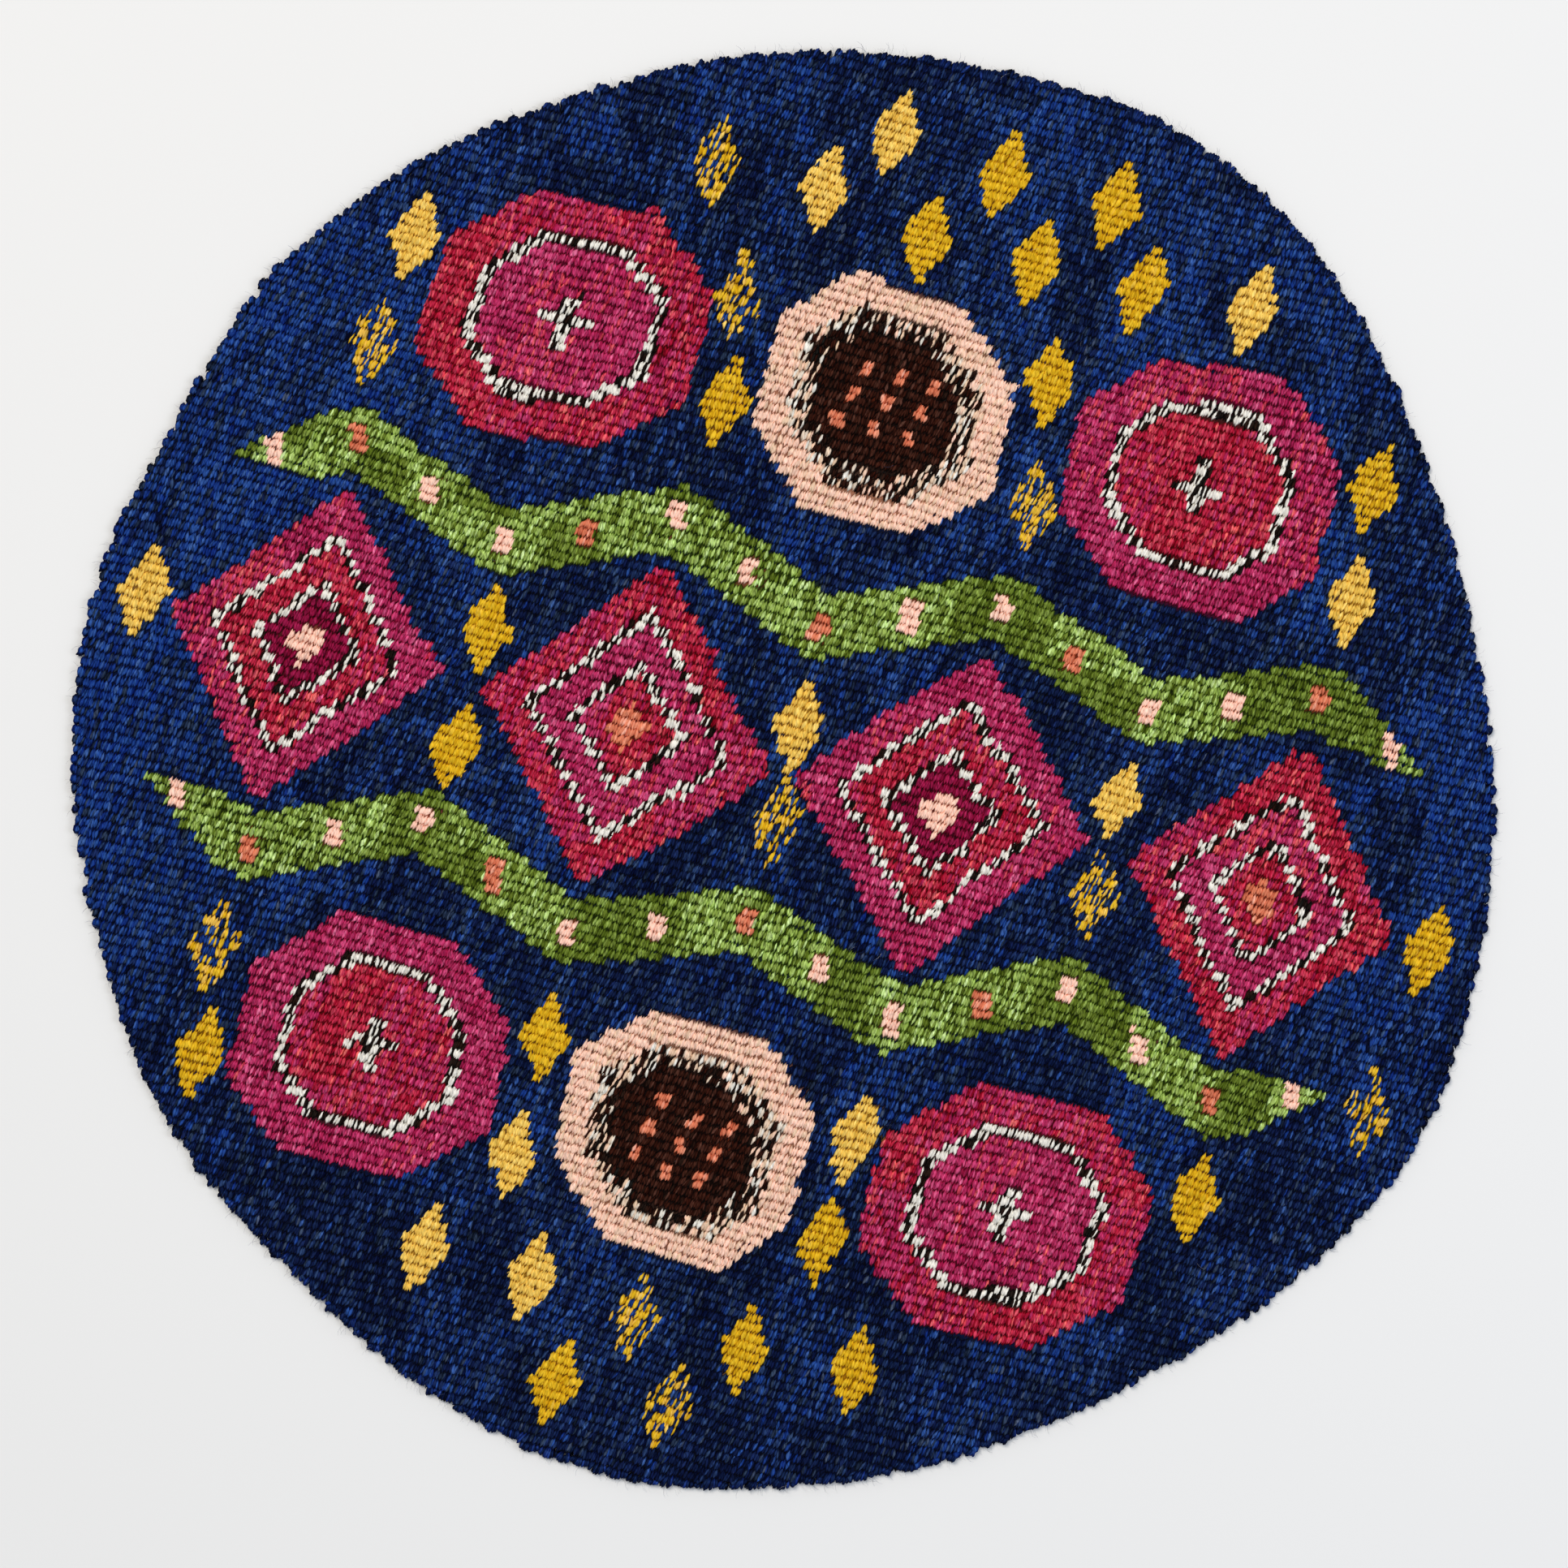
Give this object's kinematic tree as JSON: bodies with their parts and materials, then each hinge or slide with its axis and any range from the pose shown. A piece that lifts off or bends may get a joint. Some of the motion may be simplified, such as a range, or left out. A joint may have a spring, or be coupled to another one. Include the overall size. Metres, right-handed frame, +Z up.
{
  "type": "round woven tapestry",
  "caption": "Round hand-woven wool tapestry, one thick ribbed sheet with a lumpy turned rim and stepped banded motifs, lying flat.",
  "frame": {"origin": "middle of the bounding box, on the flat underside", "axes": "+Z up out of the ribbed face, +Y towards the top of the design, +X to its right"},
  "size_m": [0.4736, 0.4786, 0.003],
  "materials": {
    "wool_weft": "matte hand-dyed wool, packed weft over covered warps"
  },
  "bodies": {
    "root": {"woven_cloth": "wool_weft"}
  },
  "joints": []
}
